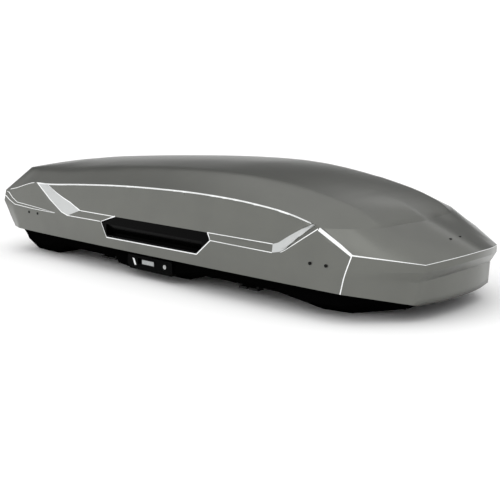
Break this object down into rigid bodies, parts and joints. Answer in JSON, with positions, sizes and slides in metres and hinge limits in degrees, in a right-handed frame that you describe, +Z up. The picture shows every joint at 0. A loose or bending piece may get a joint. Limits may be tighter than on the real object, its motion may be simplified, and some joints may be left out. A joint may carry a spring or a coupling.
{
  "type": "roof cargo box",
  "caption": "Long tapered roof cargo box with a dual-side opening lid, side grips, key locks, lid lifters and sliding roof-bar clamps.",
  "frame": {"origin": "middle of the footprint, on the plane of the pods' undersides", "axes": "+X towards the pointed nose, +Y to the left side of the car, +Z up"},
  "size_m": [2.33, 0.9182, 0.4807],
  "materials": {
    "lid_skin": "satin metallic film",
    "grip_black": "gloss",
    "base_black": "fine texture",
    "lock_black": "satin",
    "lever_face": "satin",
    "seal_rubber": "matte",
    "zinc_steel": "zinc plated",
    "stand_black": "satin",
    "cylinder_metal": "nickel",
    "rivet_dark": "satin",
    "clamp_black": "satin",
    "knob_grey": "satin",
    "jaw_black": "powder coat"
  },
  "bodies": {
    "base": {"base_tray": "base_black", "rim_seal": "seal_rubber", "base_stiffener_left": "zinc_steel", "base_stiffener_right": "zinc_steel", "clamp_tracks": "zinc_steel", "lock_housing_left": "lock_black", "lock_housing_right": "lock_black", "latch_cradles_left": "lock_black", "latch_cradles_right": "lock_black", "lifter_stand_front": "stand_black", "lifter_stand_rear": "stand_black", "lifter_pins_front": "zinc_steel", "lifter_pins_rear": "zinc_steel"},
    "latch_left": {"latch_rod_left": "zinc_steel", "slide_lever_left": "lock_black", "lever_plate_left": "lever_face"},
    "latch_right": {"latch_rod_right": "zinc_steel", "slide_lever_right": "lock_black", "lever_plate_right": "lever_face"},
    "key_left": {"key_cylinder_left": "cylinder_metal"},
    "key_right": {"key_cylinder_right": "cylinder_metal"},
    "left_pins": {"hinge_pins_left": "zinc_steel"},
    "lid": {"lid_shell": "lid_skin", "side_grip_left": "grip_black", "side_grip_right": "grip_black", "lid_strip_left": "zinc_steel", "lid_strip_right": "zinc_steel", "hinge_arms_left": "zinc_steel", "hinge_arms_right": "zinc_steel", "hinge_pins_right": "zinc_steel", "lid_beam_front": "zinc_steel", "lid_beam_rear": "zinc_steel", "nose_bracket": "zinc_steel", "lid_rivets": "rivet_dark"},
    "arm_left_front": {"lifter_arm_left_front": "zinc_steel"},
    "arm_right_front": {"lifter_arm_right_front": "zinc_steel"},
    "arm_left_rear": {"lifter_arm_left_rear": "zinc_steel"},
    "arm_right_rear": {"lifter_arm_right_rear": "zinc_steel"},
    "clamp_front_left": {"clamp_front_left_carriage": "clamp_black"},
    "clamp_front_left_knob_body": {"clamp_front_left_knob": "knob_grey"},
    "clamp_front_left_front_jaw_body": {"clamp_front_left_jaw_front": "jaw_black"},
    "clamp_front_left_rear_jaw_body": {"clamp_front_left_jaw_rear": "jaw_black"},
    "clamp_front_right": {"clamp_front_right_carriage": "clamp_black"},
    "clamp_front_right_knob_body": {"clamp_front_right_knob": "knob_grey"},
    "clamp_front_right_front_jaw_body": {"clamp_front_right_jaw_front": "jaw_black"},
    "clamp_front_right_rear_jaw_body": {"clamp_front_right_jaw_rear": "jaw_black"},
    "clamp_rear_left": {"clamp_rear_left_carriage": "clamp_black"},
    "clamp_rear_left_knob_body": {"clamp_rear_left_knob": "knob_grey"},
    "clamp_rear_left_front_jaw_body": {"clamp_rear_left_jaw_front": "jaw_black"},
    "clamp_rear_left_rear_jaw_body": {"clamp_rear_left_jaw_rear": "jaw_black"},
    "clamp_rear_right": {"clamp_rear_right_carriage": "clamp_black"},
    "clamp_rear_right_knob_body": {"clamp_rear_right_knob": "knob_grey"},
    "clamp_rear_right_front_jaw_body": {"clamp_rear_right_jaw_front": "jaw_black"},
    "clamp_rear_right_rear_jaw_body": {"clamp_rear_right_jaw_rear": "jaw_black"}
  },
  "joints": [
    {"name": "open_left_side", "type": "hinge", "parent": "base", "child": "left_pins", "pos_m": [0, -0.438, 0.128], "axis": [1, 0, 0], "range_deg": [0, 50]},
    {"name": "open_right_side", "type": "hinge", "parent": "left_pins", "child": "lid", "pos_m": [0, 0.438, 0.128], "axis": [1, 0, 0], "range_deg": [-50, 0]},
    {"name": "latch_left_slide", "type": "slide", "parent": "base", "child": "latch_left", "axis": [-1, 0, 0], "range_m": [0, 0.026]},
    {"name": "key_left_turn", "type": "hinge", "parent": "base", "child": "key_left", "pos_m": [-0.028, 0.435, 0.072], "axis": [0, 1, 0], "range_deg": [0, 90]},
    {"name": "latch_right_slide", "type": "slide", "parent": "base", "child": "latch_right", "axis": [-1, 0, 0], "range_m": [0, 0.026]},
    {"name": "key_right_turn", "type": "hinge", "parent": "base", "child": "key_right", "pos_m": [-0.028, -0.435, 0.072], "axis": [0, -1, 0], "range_deg": [0, 90]},
    {"name": "arm_left_front_swing", "type": "hinge", "parent": "base", "child": "arm_left_front", "pos_m": [0.78, -0.088, 0.128], "axis": [1, 0, 0], "range_deg": [0, 100]},
    {"name": "arm_right_front_swing", "type": "hinge", "parent": "base", "child": "arm_right_front", "pos_m": [0.78, 0.088, 0.128], "axis": [1, 0, 0], "range_deg": [-100, 0]},
    {"name": "arm_left_rear_swing", "type": "hinge", "parent": "base", "child": "arm_left_rear", "pos_m": [-0.922, -0.088, 0.128], "axis": [1, 0, 0], "range_deg": [0, 100]},
    {"name": "arm_right_rear_swing", "type": "hinge", "parent": "base", "child": "arm_right_rear", "pos_m": [-0.922, 0.088, 0.128], "axis": [1, 0, 0], "range_deg": [-100, 0]},
    {"name": "clamp_front_left_shift", "type": "slide", "parent": "base", "child": "clamp_front_left", "axis": [1, 0, 0], "range_m": [-0.04, 0.04]},
    {"name": "clamp_front_left_knob_turn", "type": "hinge", "parent": "clamp_front_left", "child": "clamp_front_left_knob_body", "pos_m": [0.36, 0.335, 0.11], "axis": [0, 0, 1], "range_deg": [0, 1440]},
    {"name": "clamp_front_left_front_jaw", "type": "slide", "parent": "clamp_front_left", "child": "clamp_front_left_front_jaw_body", "axis": [1, 0, 0], "range_m": [0, 0.028]},
    {"name": "clamp_front_left_rear_jaw", "type": "slide", "parent": "clamp_front_left", "child": "clamp_front_left_rear_jaw_body", "axis": [-1, 0, 0], "range_m": [0, 0.028]},
    {"name": "clamp_front_right_shift", "type": "slide", "parent": "base", "child": "clamp_front_right", "axis": [1, 0, 0], "range_m": [-0.04, 0.04]},
    {"name": "clamp_front_right_knob_turn", "type": "hinge", "parent": "clamp_front_right", "child": "clamp_front_right_knob_body", "pos_m": [0.36, -0.335, 0.11], "axis": [0, 0, 1], "range_deg": [0, 1440]},
    {"name": "clamp_front_right_front_jaw", "type": "slide", "parent": "clamp_front_right", "child": "clamp_front_right_front_jaw_body", "axis": [1, 0, 0], "range_m": [0, 0.028]},
    {"name": "clamp_front_right_rear_jaw", "type": "slide", "parent": "clamp_front_right", "child": "clamp_front_right_rear_jaw_body", "axis": [-1, 0, 0], "range_m": [0, 0.028]},
    {"name": "clamp_rear_left_shift", "type": "slide", "parent": "base", "child": "clamp_rear_left", "axis": [1, 0, 0], "range_m": [-0.04, 0.04]},
    {"name": "clamp_rear_left_knob_turn", "type": "hinge", "parent": "clamp_rear_left", "child": "clamp_rear_left_knob_body", "pos_m": [-0.5, 0.335, 0.11], "axis": [0, 0, 1], "range_deg": [0, 1440]},
    {"name": "clamp_rear_left_front_jaw", "type": "slide", "parent": "clamp_rear_left", "child": "clamp_rear_left_front_jaw_body", "axis": [1, 0, 0], "range_m": [0, 0.028]},
    {"name": "clamp_rear_left_rear_jaw", "type": "slide", "parent": "clamp_rear_left", "child": "clamp_rear_left_rear_jaw_body", "axis": [-1, 0, 0], "range_m": [0, 0.028]},
    {"name": "clamp_rear_right_shift", "type": "slide", "parent": "base", "child": "clamp_rear_right", "axis": [1, 0, 0], "range_m": [-0.04, 0.04]},
    {"name": "clamp_rear_right_knob_turn", "type": "hinge", "parent": "clamp_rear_right", "child": "clamp_rear_right_knob_body", "pos_m": [-0.5, -0.335, 0.11], "axis": [0, 0, 1], "range_deg": [0, 1440]},
    {"name": "clamp_rear_right_front_jaw", "type": "slide", "parent": "clamp_rear_right", "child": "clamp_rear_right_front_jaw_body", "axis": [1, 0, 0], "range_m": [0, 0.028]},
    {"name": "clamp_rear_right_rear_jaw", "type": "slide", "parent": "clamp_rear_right", "child": "clamp_rear_right_rear_jaw_body", "axis": [-1, 0, 0], "range_m": [0, 0.028]}
  ],
  "couplings": [
    {"joint": "arm_left_front_swing", "follows": "open_left_side", "ratio": 2},
    {"joint": "arm_right_front_swing", "follows": "open_right_side", "ratio": 2},
    {"joint": "arm_left_rear_swing", "follows": "open_left_side", "ratio": 2},
    {"joint": "arm_right_rear_swing", "follows": "open_right_side", "ratio": 2},
    {"joint": "clamp_front_left_knob_turn", "follows": "clamp_front_left_front_jaw", "rad_per_m": 897.59},
    {"joint": "clamp_front_left_rear_jaw", "follows": "clamp_front_left_front_jaw", "ratio": 1},
    {"joint": "clamp_front_right_knob_turn", "follows": "clamp_front_right_front_jaw", "rad_per_m": 897.59},
    {"joint": "clamp_front_right_rear_jaw", "follows": "clamp_front_right_front_jaw", "ratio": 1},
    {"joint": "clamp_rear_left_knob_turn", "follows": "clamp_rear_left_front_jaw", "rad_per_m": 897.59},
    {"joint": "clamp_rear_left_rear_jaw", "follows": "clamp_rear_left_front_jaw", "ratio": 1},
    {"joint": "clamp_rear_right_knob_turn", "follows": "clamp_rear_right_front_jaw", "rad_per_m": 897.59},
    {"joint": "clamp_rear_right_rear_jaw", "follows": "clamp_rear_right_front_jaw", "ratio": 1}
  ]
}
